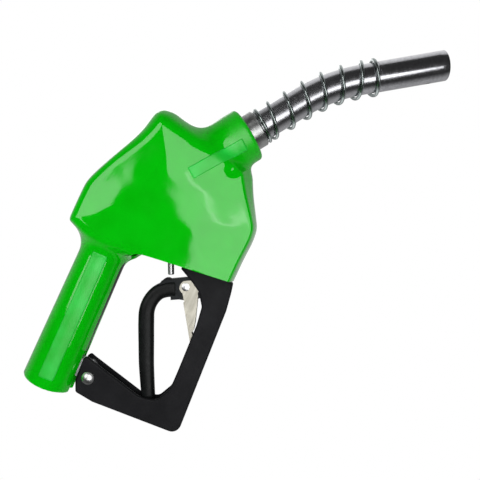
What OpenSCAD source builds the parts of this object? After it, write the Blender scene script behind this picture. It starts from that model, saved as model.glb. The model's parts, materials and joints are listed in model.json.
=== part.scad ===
// Automatic shut-off diesel nozzle, built as separate sub-parts.
// Millimetres. The origin is the centre of the hose inlet's mouth.
// +Z runs up the handle, +X from the handle to the lever, guard and spout,
// and Y is across. Everything follows the XZ plane as its middle plane.

/* [Handle and hose inlet] */
// Outer radius of the scuff cover at the hose end
handle_end_r = 20; // [19.6:0.1:21]
// Outer radius of the scuff cover at the top of the grip
handle_top_r = 18.3; // [18.2:0.1:19]
// Thickness of the scuff cover
cover_wall = 2.6; // [2:0.1:2.6]
// Crest radius of the inlet's female thread
inlet_r = 12.06; // [11.5:0.01:12.5]
// Depth of the inlet's thread
inlet_depth = 19; // [16:1:22]

/* [Body cover] */
// Half the width of the body cover across Y
body_half_depth = 29; // [28:0.5:33]
// Outer radius of the neck that holds the spout
neck_r = 22; // [21.8:0.1:23]

/* [Spout] */
// Outer radius of the spout's free end
spout_r = 11.9; // [11.8:0.05:12]
// Wall of the spout tube
spout_wall = 1.5; // [1.2:0.1:1.5]
// Length of the straight base beyond the neck
base_length = 47.8; // [40:0.1:60]
// Radius of the bend, on the tube's axis
bend_r = 142; // [120:1:200]
// Angle of the bend in degrees
bend_angle = 21.5; // [15:0.5:25]
// Length of the straight end after the bend
tip_length = 66.6; // [64:0.1:80]

/* [Anchor spring] */
// Open turns between the closed ends
anchor_turns = 6.25; // [5:0.25:8]
// Wire radius
anchor_wire_r = 1.35; // [1:0.05:1.45]
// Mean radius of the coil
anchor_coil_r = 13.65; // [13.5:0.05:14]

/* [Hand guard] */
// Width over both plates
guard_width = 15; // [14:0.5:18]
// Clear width between the plates
guard_channel = 10.8; // [10.7:0.1:11.2]
// Thickness of the web along the outer edge
guard_web = 2.5; // [2:0.1:3]

/* [Lever and clip] */
// Width over the lever's side walls
lever_width = 6.6; // [6.4:0.1:6.8]
// Thickness of the lever's steel
lever_wall = 1.4; // [1.2:0.1:1.4]
// Width of the lever's grip sleeve
sleeve_width = 9; // [8:0.5:9.4]
// Thickness of the hold-open clip's steel
clip_sheet = 0.8; // [0.6:0.1:0.8]

/* [Valve and trip] */
// Radius of the valve stem
stem_r = 2.5; // [2.4:0.1:3.2]
// Radius of the trip plunger
plunger_r = 5; // [4.8:0.1:5.2]
// Radius of the main poppet
poppet_r = 11; // [10.5:0.1:11.5]

/* [Hidden] */
$fn = 48;
fit = 0.05;
gap = 0.3;
far = 200;

// Valve frame: the stem's axis is local Z, leaning back from the handle's axis
valve_x = 58;
valve_z = 112;
valve_tilt = 25;
trip_offset = 31.5;
pivot_b = -8.1;
pivot_pin_r = 2.5;

// Spout frame: local Z is the spout's axis, starting at the cover's mouth
spout_x = 68;
spout_z = 244;
spout_lean = 35;
spout_in_r = spout_r - spout_wall;
spout_base_r = spout_r - 0.2;
spout_inside = -22;
arc_length = bend_r * bend_angle * PI / 180;
collar_nose = 10;
anchor_start = collar_nose + gap;
anchor_end = 113.2;
port_r = 2.2;
port_from_tip = 15.5;

// Casting
tube_r = 15.2;
hub_r = 16.6;
hub_top = 22;
tube_top = 128;
handle_bore_r = 9.5;
passage_r = 8.5;
passage_wall_r = 12;
elbow_swell = 0.3;
elbow = [-10.8, 148.3];
elbow_top = [0.5, 202.2];
stem_tower_r = 13.5;
chamber_tower_r = 17.5;
chamber_r = 13;
chamber_base = 96;
tower_top = 116;
lower_chamber_r = 10;
lower_chamber_base = 60;
seat_base = 91;
seat_r = 12.6;
seat_hole_r = 8.5;
socket_r = 18.5;
collar_r = 15;
lug_half = guard_channel / 2 - 0.3;
trip_tower_r = 11;
trip_bore_r = 8.5;
diaphragm_r = 16;
diaphragm_b = 50;
bolt_circle_r = 13.4;
bolt_r = 1.5;

// Guard fixings
rear_pin = [29.5, 16];
rear_pin_r = 3;
front_screw = [95.8, 136.4];
front_screw_r = 2.2;

// Lever and clip
pivot = [valve_x + trip_offset * cos(valve_tilt) - pivot_b * sin(valve_tilt),
    valve_z + trip_offset * sin(valve_tilt) + pivot_b * cos(valve_tilt)];
rivet = [71, 112];
rivet_r = 1.8;
clip_half = lever_width / 2 + gap + clip_sheet;
pad_centre = [-2.5, -2.1];
pad_r = 4.5;
stem_end = 4.5;

// ---------- helpers ----------

// Rounds each corner of an outline by its own radius
function unit2(v) = v / norm(v);
function corner(before, at, after, r, steps = 6) =
    let (
        u = unit2(before - at),
        v = unit2(after - at),
        half = acos(u * v) / 2,
        centre = at + unit2(u + v) * r / sin(half),
        from = at + u * r / tan(half) - centre,
        to = at + v * r / tan(half) - centre,
        start = atan2(from[1], from[0]),
        sweep = (atan2(to[1], to[0]) - start + 540) % 360 - 180
    )
    [for (i = [0:steps])
        centre + r * [cos(start + sweep * i / steps), sin(start + sweep * i / steps)]];
function rounded(outline) =
    let (n = len(outline))
    [for (i = [0:n - 1])
        let (
            before = outline[(i + n - 1) % n],
            at = outline[i],
            after = outline[(i + 1) % n],
            p = [at[0], at[1]]
        )
        each at[2] == 0 ? [p] : corner([before[0], before[1]], p, [after[0], after[1]], at[2])];

// An outline in the XZ plane, made solid across Y
module slab(width) {
    rotate([90, 0, 0])
        linear_extrude(height = width, center = true)
            children();
}

// A cylinder across Y at a point of the XZ plane
module cross_rod(at, r, width) {
    translate([at[0], 0, at[1]])
        rotate([90, 0, 0])
            cylinder(r = r, h = width, center = true);
}

module in_valve(a = 0, b = 0) {
    translate([valve_x, 0, valve_z])
        rotate([0, -valve_tilt, 0])
            translate([a, 0, b])
                children();
}

module in_trip(b = 0) {
    in_valve(trip_offset, b)
        children();
}

module in_spout(s = 0) {
    translate([spout_x, 0, spout_z])
        rotate([0, spout_lean, 0])
            translate([0, 0, s])
                children();
}

// The spout's straight end, local Z along it from the end of the bend
module in_tip(s = 0) {
    in_spout()
        translate([bend_r * (1 - cos(bend_angle)), 0, base_length + bend_r * sin(bend_angle)])
            rotate([0, bend_angle, 0])
                translate([0, 0, s])
                    children();
}

module ring(outer, inner, from, to) {
    rotate_extrude()
        translate([inner, from])
            square([outer - inner, to - from]);
}

module torus(centre_r, section_r, at = 0) {
    translate([0, 0, at])
        rotate_extrude()
            translate([centre_r, 0])
                circle(r = section_r);
}

// A straight tube between two points of the XZ plane
module run(from, to, r) {
    step = to - from;
    translate([from[0], 0, from[1]])
        rotate([0, 90 - atan2(step[1], step[0]), 0])
            cylinder(r = r, h = norm(step));
}

// A round wire along a list of points; the wire never runs along Z
function ring_points(points, i, r, sides) =
    let (
        last = len(points) - 1,
        ahead = points[min(i + 1, last)] - points[max(i - 1, 0)],
        t = ahead / norm(ahead),
        side = cross([0, 0, 1], t),
        u = side / norm(side),
        v = cross(t, u)
    )
    [for (j = [0:sides - 1])
        points[i] + r * (cos(360 * j / sides) * u + sin(360 * j / sides) * v)];

module wire(points, r, sides = 6) {
    last = len(points) - 1;
    skin = [for (i = [0:last]) each ring_points(points, i, r, sides)];
    walls = [for (i = [0:last - 1])
        for (j = [0:sides - 1])
            let (
                k = (j + 1) % sides,
                low = i * sides,
                high = low + sides
            )
            each [[low + j, high + j, high + k], [low + j, high + k, low + k]]];
    start_cap = [for (j = [0:sides - 1]) j];
    end_cap = [for (j = [sides - 1:-1:0]) last * sides + j];
    polyhedron(points = skin, faces = concat(walls, [start_cap, end_cap]));
}

// Height along a compression spring after a number of turns, with closed ends
function closed_rise(t, turns, wire_r, length) =
    let (
        wire = 2.1 * wire_r,
        closed = 1,
        open = length - 2 * wire_r - 2 * closed * wire,
        pitch = open / (turns - 2 * closed)
    )
    t < closed ? wire_r + wire * t
        : t < turns - closed ? wire_r + wire * closed + pitch * (t - closed)
        : length - wire_r - wire * (turns - t);

module coil_spring(coil_r, wire_r, turns, length, steps = 16) {
    wire([for (i = [0:turns * steps])
        let (t = i / steps)
        [coil_r * cos(360 * t), coil_r * sin(360 * t),
            closed_rise(t, turns, wire_r, length)]], wire_r);
}

// The spout's centre line and its bend, in the spout frame
function bend_at(s) = max(0, min(bend_angle, (s - base_length) / bend_r * 180 / PI));
function centre_line(s) =
    let (
        g = bend_at(s),
        straight = min(s, base_length) + max(0, s - base_length - arc_length) * cos(g)
    )
    [bend_r * (1 - cos(g)) + max(0, s - base_length - arc_length) * sin(g), 0,
        straight + bend_r * sin(g)];
function across(s) = [cos(bend_at(s)), 0, -sin(bend_at(s))];

// ---------- outlines in the XZ plane: x, z, corner radius ----------

guard_outline = [[62, 124, 1.5], [74, 118, 4], [82, 113, 3], [89, 103, 6], [91, 88, 8],
    [92, 50, 10], [92, 34, 10], [86, 22.4, 6], [78, 20, 4], [70.6, 19.8, 4], [26, 31.2, 2],
    [22, 32.6, 2], [20, 29.4, 2], [20.6, 11, 1], [25, 2.4, 3], [40, 0.1, 4],
    [103, 2.7, 6.5], [110.4, 10.8, 5], [108, 108, 8], [105.8, 123, 4], [104.4, 129.6, 1.5],
    [99.8, 130.4, 0.6], [99.8, 141, 4], [91.6, 141, 3.5], [91.6, 131, 2],
    [62, 126.4, 1.2]];
channel_outline = [[55, 117, 0], [60, 40, 0], [10, 45, 0], [10, 12, 0], [20.4, 12, 0],
    [26.4, 2.2 + guard_web, 2], [40, 0.1 + guard_web, 4], [102, 2.7 + guard_web, 5.2],
    [110.3 - guard_web, 11.4, 4], [108 - guard_web, 108, 7], [105.9 - guard_web, 122.6, 3],
    [101.6, 131, 0], [101.6, 145, 0], [55, 145, 0]];
lever_outline = [[72, 121.4, 3], [57, 113.2, 5], [48, 105, 9], [43.2, 93, 10],
    [43.4, 82, 10], [55, 57, 60], [73.4, 17.4, 4.5], [84.6, 18.6, 4.5], [69, 50, 60],
    [56, 79, 10], [54, 85, 7], [56, 92, 6], [60, 95.5, 4], [70, 100.8, 6],
    [74.5, 102, 2], [86, 109, 4], [96.4, 111.5, 6], [96.4, 123.6, 5.5], [86, 124.6, 6]];
clip_blade = [[66.4, 115, 4], [70.5, 117.4, 2], [76, 120, 1.2], [84, 116, 1.2],
    [81.4, 112, 1], [82.8, 109.4, 1], [89.2, 89, 1.4], [90.6, 82.4, 1],
    [88.4, 80.8, 0.8], [73.6, 102.4, 1.2], [70.6, 106.6, 2], [66.6, 108, 4]];
clip_web = [[74.2, 100], [92.8, 71.6], [93.8, 70.8], [94.6, 71.6], [90.8, 79.8],
    [88.6, 82.2], [75.4, 100.9]];
rear_lug = [[10, 28, 0], [10, 13.2, 0], [21, 13.2, 0.6], [27.2, 7, 2], [34.6, 9.4, 4],
    [34.6, 24, 5], [27, 28, 3]];
front_lug = [[91.4, 131.4, 1], [99.2, 131.4, 1], [99.2, 163, 4], [90, 187, 6],
    [75, 213, 4], [64, 209, 4], [77, 192, 4], [84, 178, 3], [78, 160, 3], [86, 142, 2],
    [91.4, 141, 1]];
web_rib = [[-14, 122, 0], [10, 122, 0], [30, 139, 6], [49, 140, 2], [66, 142, 2],
    [76, 152, 0], [64, 160, 3], [44, 158, 3], [30, 205, 6], [14, 205, 0],
    [-6, 160, 0]];

// ---------- body ----------

module casting_solid() {
    cylinder(r = tube_r, h = tube_top);
    cylinder(r = hub_r, h = hub_top);
    translate([0, 0, tube_top])
        sphere(r = tube_r + elbow_swell);
    run([0, tube_top], elbow, passage_wall_r);
    translate([elbow[0], 0, elbow[1]])
        sphere(r = passage_wall_r + elbow_swell);
    run(elbow, elbow_top, passage_wall_r);
    in_valve(0, 34.3)
        cylinder(r = stem_tower_r, h = seat_base - 34.3);
    in_valve(0, seat_base - 5)
        cylinder(r = chamber_tower_r, h = tower_top - seat_base + 5);
    in_trip(10)
        cylinder(r = trip_tower_r, h = diaphragm_b - 10);
    in_trip(diaphragm_b - 5)
        cylinder(r = diaphragm_r, h = 5);
    in_spout(-52)
        cylinder(r = socket_r, h = 51);
    slab(2 * lug_half)
        polygon(rounded(rear_lug));
    slab(2 * lug_half)
        polygon(rounded(front_lug));
    slab(2 * lug_half)
        polygon(rounded(web_rib));
}

module casting_bores() {
    translate([0, 0, -1])
        cylinder(r = inlet_r, h = inlet_depth + 1);
    cylinder(r = handle_bore_r, h = tube_top);
    translate([0, 0, tube_top])
        sphere(r = handle_bore_r + elbow_swell);
    run([0, tube_top], elbow, passage_r);
    translate([elbow[0], 0, elbow[1]])
        sphere(r = passage_r + elbow_swell);
    run(elbow, elbow_top, passage_r);
    translate([elbow_top[0], 0, elbow_top[1]])
        sphere(r = passage_r + elbow_swell);
    in_valve(0, 30)
        cylinder(r = 7, h = 26);
    in_valve(0, 50)
        cylinder(r = stem_r + 0.5, h = 20);
    in_valve(0, lower_chamber_base)
        cylinder(r = lower_chamber_r, h = seat_base - lower_chamber_base + 1);
    in_valve(0, seat_base)
        cylinder(r = seat_r + fit, h = chamber_base - seat_base + 1);
    in_valve(0, chamber_base)
        cylinder(r = chamber_r, h = 30);
    in_valve(0, 10)
        cylinder(r = 10.4, h = 24.3);
    in_trip(0)
        cylinder(r = plunger_r + 0.5, h = 20);
    in_trip(12)
        cylinder(r = trip_bore_r, h = 60);
    in_spout(-78)
        cylinder(r = passage_r, h = 58);
    in_spout(-33)
        cylinder(r = collar_r + 0.1, h = 40);
    in_spout(-5)
        rotate([0, 90, 0])
            cylinder(r = 2 + fit, h = 30);
    bolt_places()
        translate([0, 0, diaphragm_b - 8])
            cylinder(r = bolt_r + fit, h = 20);
    cross_rod(rear_pin, rear_pin_r + fit, 40);
    cross_rod(front_screw, front_screw_r + fit, 40);
}

module body_casting() {
    color([0.72, 0.73, 0.74])
        difference() {
            casting_solid();
            casting_bores();
        }
}

module bolt_places() {
    for (turn = [45:90:315])
        in_valve(trip_offset, 0)
            rotate([0, 0, turn])
                translate([bolt_circle_r, 0, 0])
                    children();
}

// Cover: a rounded body, a shoulder that runs down to the grip, and the neck.
// Each corner is x, z, radius; the inset makes the same shape smaller.
body_corners = [[-27, 131, 7], [-25, 155, 9], [-2, 221, 8], [4, 221, 15], [24, 216, 15],
    [74, 209, 11], [94, 166, 10.5], [92.8, 132, 10.5]];
shoulder_corners = [[-12, 130, 12], [14, 138, 12], [-14, 150, 15]];

module corner_ball(at, inset, back = 0) {
    for (side = [-1, 1])
        translate([at[0], side * (body_half_depth - max(at[2], 11) - back), at[1]])
            sphere(r = at[2] - inset, $fn = 32);
}

module body_shell(inset) {
    hull()
        for (at = body_corners)
            corner_ball(at, inset);
    hull() {
        for (at = shoulder_corners)
            corner_ball(at, inset, 1.5);
        translate([0, 0, 104])
            cylinder(r = handle_top_r - inset, h = 6, $fn = 64);
    }
    hull()
        in_spout(-44) {
            cylinder(r = neck_r - inset, h = 43 + (inset > 0 ? 10 : 0), $fn = 64);
            translate([0, 0, -12])
                cylinder(r = neck_r + 3 - inset, h = 8, $fn = 64);
        }
    hull() {
        translate([0, 0, inset > 0 ? -2 : 0.4])
            cylinder(r = handle_end_r - inset, h = 1, $fn = 64);
        translate([0, 0, 108])
            cylinder(r = handle_top_r - inset, h = 1, $fn = 64);
    }
}

// The open underside, in front of the grip
module skirt_opening() {
    hull()
        for (x = [30, 92], side = [-1, 1])
            translate([x, side * (body_half_depth - 11), 90])
                cylinder(r = 11 - cover_wall, h = 62, $fn = 32);
    slab(far)
        polygon(rounded([[19.4, 90, 0], [19.4, 113, 5], [22, 119.5, 5], [37, 124.6, 20],
            [103, 131.6, 0], [140, 135, 0], [140, 90, 0]]));
}

// Flat places for the blank labels, one on the grip and one along the neck
module label_flats() {
    hull()
        for (end = [[14, handle_end_r - 0.2], [100, handle_top_r + 0.2]])
            translate([2, -end[1] - 5.3, end[0]])
                rotate([90, 0, 0])
                    cylinder(r = 6, h = 12, center = true, $fn = 32);
    hull()
        in_spout()
            for (s = [-48, -16])
                translate([2, -neck_r - 5.2, s])
                    rotate([90, 0, 0])
                        cylinder(r = 4.8, h = 12, center = true, $fn = 32);
}

module scuff_cover() {
    color([0.02, 0.58, 0.1])
        difference() {
            body_shell(0);
            body_shell(cover_wall);
            skirt_opening();
            label_flats();
            translate([8, -4.5, 20])
                cube([20, 9, 97]);
            translate([8, -lug_half - gap, -10])
                cube([20, 2 * (lug_half + gap), 42]);
        }
}

module grip_strip() {
    color([0.06, 0.06, 0.065])
        intersection() {
            difference() {
                translate([0, 0, 33])
                    cylinder(r = handle_top_r + 0.3, h = 80);
                cylinder(r = handle_top_r - cover_wall, h = 130);
            }
            translate([8, -4.3, 33])
                cube([20, 8.6, 80]);
        }
}

module hand_guard() {
    color([0.05, 0.05, 0.055])
        difference() {
            slab(guard_width)
                polygon(rounded(guard_outline));
            slab(guard_channel)
                polygon(rounded(channel_outline));
            for (z = [58:9:94])
                cross_rod([104.1 + (94 - z) * 0.022, z], 2.6, guard_channel);
            cross_rod(rear_pin, rear_pin_r + fit, 40);
            cross_rod(front_screw, front_screw_r + fit, 40);
        }
}

module guard_pin() {
    head = 5;
    dome = 7.2;
    color([0.8, 0.8, 0.79])
        translate([rear_pin[0], 0, rear_pin[1]])
            rotate([90, 0, 0]) {
                translate([0, 0, -guard_width / 2 - 1.6])
                    cylinder(r = rear_pin_r, h = guard_width + 1.7);
                translate([0, 0, -guard_width / 2 - 1.6])
                    cylinder(r = rear_pin_r + 1, h = 1.55);
                translate([0, 0, guard_width / 2 + fit])
                    rotate_extrude()
                        intersection() {
                            square([head, 3]);
                            translate([0, 2.2 - dome])
                                circle(r = dome, $fn = 96);
                        }
            }
}

module guard_screw() {
    head_base = guard_width / 2 + fit;
    color([0.62, 0.62, 0.6])
        translate([front_screw[0], 0, front_screw[1]])
            rotate([90, 0, 0]) {
                translate([0, 0, -head_base - 3])
                    cylinder(r = front_screw_r, h = 2 * head_base + 3.1);
                difference() {
                    translate([0, 0, head_base])
                        cylinder(r = 4.3, h = 2.6);
                    translate([0, 0, head_base + 1])
                        cylinder(r = 2.3, h = 3, $fn = 6);
                }
                translate([0, 0, -head_base - 2.6])
                    difference() {
                        cylinder(r = 4.5, h = 2.55, $fn = 6);
                        translate([0, 0, -1])
                            cylinder(r = front_screw_r + fit, h = 5);
                    }
            }
}

module inlet_strainer() {
    rim = handle_bore_r - fit;
    color([0.75, 0.74, 0.7])
        difference() {
            union() {
                translate([0, 0, inlet_depth + 1])
                    cylinder(r = rim, h = 3);
                translate([0, 0, inlet_depth + 1])
                    cylinder(r = 7, h = 40);
            }
            translate([0, 0, inlet_depth])
                cylinder(r = 6.2, h = 39);
            for (level = [0:5], turn = [0:60:120])
                translate([0, 0, inlet_depth + 9 + 5 * level])
                    rotate([0, 0, turn])
                        cube([20, 4, 2.4], center = true);
        }
}

module body_cap() {
    flange = 14.8;
    flange_height = 5.4;
    base = tower_top + 0.8;
    plug_base = 111.4;
    spring_pocket = 120.6;
    color([0.7, 0.7, 0.7])
        in_valve(0, 0)
            difference() {
                union() {
                    translate([0, 0, plug_base])
                        cylinder(r = chamber_r - fit, h = base - plug_base + 1);
                    translate([0, 0, base])
                        cylinder(r = flange, h = flange_height);
                    translate([0, 0, base + flange_height - 0.2])
                        cylinder(r = 7.6, h = 3.8, $fn = 6);
                }
                translate([0, 0, plug_base - 2])
                    cylinder(r = 10, h = spring_pocket - plug_base + 2);
            }
}

module cap_gasket() {
    color([0.1, 0.1, 0.1])
        in_valve(0, tower_top + fit)
            ring(14.7, chamber_r + fit, 0, 0.7);
}

module valve_seat_ring() {
    color([0.78, 0.62, 0.3])
        in_valve(0, 0)
            rotate_extrude()
                polygon([[seat_hole_r, seat_base + fit], [seat_r, seat_base + fit],
                    [seat_r, chamber_base], [10.4, chamber_base], [9.8, chamber_base + 1],
                    [9.2, chamber_base + 1], [seat_hole_r, chamber_base]]);
}

module stem_packing() {
    color([0.9, 0.9, 0.88])
        in_valve(0, 0)
            for (level = [0:3])
                ring(7 - fit, stem_r + fit, 45.9 + 2.5 * level, 48.2 + 2.5 * level);
}

module packing_nut() {
    color([0.78, 0.62, 0.3])
        in_valve(0, 0)
            difference() {
                union() {
                    translate([0, 0, 33.8])
                        cylinder(r = 7 - fit, h = 12);
                    translate([0, 0, 26])
                        cylinder(r = 9.4, h = 8, $fn = 6);
                }
                translate([0, 0, 20])
                    cylinder(r = stem_r + fit, h = 30);
            }
}

// ---------- spout ----------

module spout_tube() {
    reach = base_length + arc_length;
    step = anchor_end + 0.7 - reach;
    end = tip_length;
    color([0.66, 0.66, 0.67])
        union() {
            in_spout(spout_inside)
                ring(spout_base_r, spout_in_r, 0, base_length - spout_inside);
            in_spout()
                translate([bend_r, 0, base_length])
                    rotate([90, 0, 180])
                        rotate_extrude(angle = bend_angle)
                            translate([bend_r, 0])
                                difference() {
                                    circle(r = spout_base_r);
                                    circle(r = spout_in_r);
                                }
            difference() {
                in_tip()
                    rotate_extrude()
                        polygon([[spout_in_r, 0], [spout_base_r, 0], [spout_base_r, step],
                            [spout_r, step], [spout_r, end - 0.5], [spout_r - 0.5, end],
                            [spout_in_r + 0.3, end], [spout_in_r, end - 0.3]]);
                in_tip(end - port_from_tip)
                    rotate([0, 90, 0])
                        cylinder(r = port_r + fit, h = 20);
            }
        }
}

module spout_collar() {
    color([0.68, 0.7, 0.68])
        in_spout()
            difference() {
                rotate_extrude()
                    polygon([[spout_base_r + fit, spout_inside], [collar_r, spout_inside],
                        [collar_r, collar_nose - 1.2], [collar_r - 1.2, collar_nose],
                        [spout_base_r + fit, collar_nose]]);
                for (s = [-17, -11])
                    ring(collar_r + 1, 13.3, s - 1, s + 1);
                translate([0, 0, -5])
                    rotate([0, 90, 0])
                        translate([0, 0, 13])
                            cylinder(r = 2 + fit, h = 10);
            }
}

module spout_o_rings() {
    color([0.07, 0.07, 0.07])
        in_spout()
            for (s = [-17, -11])
                torus(14.2, 0.85, s);
}

module spout_set_screw() {
    color([0.3, 0.3, 0.3])
        in_spout(-5)
            rotate([0, 90, 0])
                difference() {
                    translate([0, 0, 13.1])
                        cylinder(r = 2, h = 5.2);
                    translate([0, 0, 16.6])
                        cylinder(r = 1, h = 3, $fn = 6);
                }
}

// Left-handed coil round the spout: closed turns at both ends, open between
module anchor_spring() {
    closed = 0.75;
    turns = anchor_turns + 2 * closed;
    steps = 24;
    pitch = 2.08 * anchor_wire_r;
    start = anchor_start + anchor_wire_r;
    finish = anchor_end - anchor_wire_r;
    open_pitch = (finish - start - 2 * closed * pitch) / anchor_turns;
    color([0.6, 0.61, 0.62])
        in_spout()
            wire([for (i = [0:turns * steps])
                let (
                    t = i / steps,
                    s = t < closed ? start + pitch * t
                        : t < turns - closed ? start + pitch * closed + open_pitch * (t - closed)
                        : finish - pitch * (turns - t)
                )
                centre_line(s) + anchor_coil_r
                    * (cos(-360 * t) * across(s) + sin(-360 * t) * [0, 1, 0])],
                anchor_wire_r, 8);
}

module vent_tube() {
    tube = 1.7;
    bore = 1.1;
    offset_r = spout_in_r - tube - 0.2;
    stop = tip_length - port_from_tip + 3;
    color([0.75, 0.6, 0.35]) {
        in_spout(4)
            translate([offset_r, 0, 0])
                ring(tube, bore, 0, base_length - 4);
        in_spout()
            translate([bend_r, 0, base_length])
                rotate([90, 0, 180])
                    rotate_extrude(angle = bend_angle)
                        translate([bend_r - offset_r, 0])
                            difference() {
                                circle(r = tube);
                                circle(r = bore);
                            }
        in_tip()
            translate([offset_r, 0, 0])
                difference() {
                    ring(tube, bore, 0, stop);
                    translate([0, 0, tip_length - port_from_tip])
                        rotate([0, 90, 0])
                            cylinder(r = 1.2, h = 5);
                }
    }
}

module sensing_port() {
    color([0.72, 0.72, 0.72])
        in_tip(tip_length - port_from_tip)
            rotate([0, 90, 0])
                ring(port_r, 0.9, spout_in_r + 0.1, spout_r - 0.3);
}

module venturi_seat() {
    color([0.78, 0.62, 0.3])
        in_spout()
            union() {
                rotate_extrude()
                    polygon([[9, -32.8], [collar_r, -32.8], [collar_r, -22.2],
                        [8.2, -22.2], [7.6, -23.4]]);
                difference() {
                    for (turn = [0:60:120])
                        translate([0, 0, -31.3])
                            rotate([0, 0, turn])
                                cube([21, 1.8, 3], center = true);
                    translate([0, 0, -40])
                        cylinder(r = 2, h = 20);
                }
                ring(3.6, 2 + fit, -32.8, -27);
            }
}

module spring_retainer() {
    color([0.7, 0.7, 0.7])
        in_spout()
            difference() {
                ring(spout_in_r - fit, 2.4, -2.6, 0);
                for (turn = [0:60:300])
                    rotate([0, 0, turn])
                        translate([6.6, 0, -5])
                            cylinder(r = 2.1, h = 10);
            }
}

module check_poppet() {
    color([0.74, 0.74, 0.72])
        in_spout()
            difference() {
                union() {
                    translate([0, 0, -34])
                        cylinder(r = 2, h = 14);
                    translate([0, 0, -21.5])
                        cylinder(r = 9.6, h = 2.5);
                    translate([0, 0, -19.1])
                        cylinder(r = 3, h = 4);
                }
                torus(8.6, 0.8, -21.2);
            }
}

module check_o_ring() {
    color([0.07, 0.07, 0.07])
        in_spout()
            torus(8.6, 0.7, -21.2);
}

module check_spring() {
    color([0.62, 0.63, 0.65])
        in_spout(-18.9)
            coil_spring(4.2, 0.5, 6, 16.2);
}

// ---------- shut-off ----------

module diaphragm_cap() {
    color([0.7, 0.71, 0.72])
        difference() {
            in_trip(0)
                rotate_extrude()
                    polygon([[0, diaphragm_b + 11], [10.2, diaphragm_b + 11],
                        [10.8, diaphragm_b + 4.4], [diaphragm_r, diaphragm_b + 4.4],
                        [diaphragm_r, diaphragm_b + 1.1], [9.2, diaphragm_b + 1.1],
                        [9.2, diaphragm_b + 9], [0, diaphragm_b + 9]]);
            bolt_places()
                translate([0, 0, diaphragm_b])
                    cylinder(r = bolt_r + fit, h = 20);
        }
}

module diaphragm() {
    color([0.12, 0.12, 0.12])
        difference() {
            in_trip(0)
                rotate_extrude()
                    polygon([[2.6, diaphragm_b + 0.1], [6.5, diaphragm_b + 0.1],
                        [7.5, diaphragm_b + 0.6], [8.5, diaphragm_b + 0.1],
                        [diaphragm_r - fit, diaphragm_b + 0.1],
                        [diaphragm_r - fit, diaphragm_b + 1], [8.6, diaphragm_b + 1],
                        [7.5, diaphragm_b + 1.5], [6.4, diaphragm_b + 1],
                        [2.6, diaphragm_b + 1]]);
            bolt_places()
                translate([0, 0, diaphragm_b - 2])
                    cylinder(r = bolt_r + fit, h = 6);
        }
}

module diaphragm_cap_screws() {
    color([0.6, 0.6, 0.6])
        bolt_places()
            translate([0, 0, diaphragm_b])
                difference() {
                    union() {
                        translate([0, 0, -7])
                            cylinder(r = bolt_r, h = 12);
                        translate([0, 0, 4.5])
                            cylinder(r = 2.2, h = 1.8);
                    }
                    translate([0, 0, 5.4])
                        cylinder(r = 1, h = 3, $fn = 6);
                }
}

module plunger_bushing() {
    color([0.78, 0.62, 0.3])
        in_trip(0)
            ring(trip_bore_r - fit, plunger_r + fit, 12.05, 22);
}

module latch_ring() {
    color([0.66, 0.66, 0.66])
        in_trip(0)
            ring(trip_bore_r - fit, plunger_r + fit, 36.8, 38.3);
}

module main_spring() {
    color([0.62, 0.63, 0.65])
        in_valve(0, 103.2)
            coil_spring(7.6, 0.7, 5, 17.2);
}

module trip_spring() {
    color([0.62, 0.63, 0.65])
        in_trip(22.2)
            coil_spring(6.6, 0.55, 5, 11.3);
}

module diaphragm_spring() {
    color([0.62, 0.63, 0.65])
        in_trip(diaphragm_b + 3)
            coil_spring(4.4, 0.4, 4, 5.8);
}

module poppet() {
    color([0.74, 0.74, 0.72])
        in_valve(0, 0)
            difference() {
                union() {
                    translate([0, 0, 98.9])
                        cylinder(r = poppet_r, h = 3.2);
                    translate([0, 0, 102])
                        cylinder(r = poppet_r - 1.5, h = 1.1);
                    translate([0, 0, 96.2])
                        cylinder(r = 6, h = 3);
                }
                translate([0, 0, 90])
                    cylinder(r = stem_r - 0.5 + fit, h = 20);
            }
}

module poppet_seal() {
    color([0.1, 0.1, 0.1])
        in_valve(0, 0)
            ring(poppet_r - 0.3, 6 + fit, chamber_base + 1.3, 98.85);
}

module valve_stem() {
    color([0.8, 0.8, 0.8])
        in_valve(0, 0)
            rotate_extrude()
                polygon([[0, stem_end], [stem_r - 0.5, stem_end], [stem_r, stem_end + 0.5],
                    [stem_r, 96.1], [stem_r - 0.5, 96.1], [stem_r - 0.5, 107], [0, 107]]);
}

module poppet_nut() {
    color([0.78, 0.62, 0.3])
        in_valve(0, 103.2)
            difference() {
                cylinder(r = 4.8, h = 3, $fn = 6);
                translate([0, 0, -1])
                    cylinder(r = stem_r - 0.5 + fit, h = 6);
            }
}

// The plunger hangs the lever: a flat tongue below, a latch slot above
module trip_plunger() {
    tongue = lever_width - 2 * lever_wall - 2 * gap;
    shoulder = 3.3;
    color([0.72, 0.72, 0.72])
        difference() {
            union() {
                in_trip(-2)
                    cylinder(r = plunger_r, h = 48);
                in_trip(33.7)
                    cylinder(r = 7.4, h = 2);
                intersection() {
                    in_trip(-14)
                        cylinder(r = plunger_r, h = 14);
                    cube([far * 2, tongue, far * 2], center = true);
                }
            }
            in_trip(28)
                cylinder(r = 3.2, h = 30);
            in_trip(0)
                for (turn = [0:120:240])
                    rotate([0, 0, turn])
                        translate([0, -2.3, 37.9])
                            cube([10, 4.6, 20]);
            cross_rod(pivot, pivot_pin_r + fit, 40);
            difference() {
                in_trip(-2.5)
                    cylinder(r = plunger_r + 1, h = shoulder + 2.5);
                cube([far * 2, tongue, far * 2], center = true);
            }
        }
}

module pivot_pin() {
    color([0.8, 0.8, 0.8])
        cross_rod(pivot, pivot_pin_r, 9.2);
}

module pivot_clips() {
    inner = lever_width / 2 + gap;
    color([0.25, 0.25, 0.25])
        for (side = [-1, 1])
            translate([pivot[0], side * (inner + 0.4), pivot[1]])
                rotate([90, 0, 0])
                    difference() {
                        cylinder(r = 4, h = 0.7, center = true);
                        cylinder(r = pivot_pin_r + fit, h = 2, center = true);
                    }
}

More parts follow.
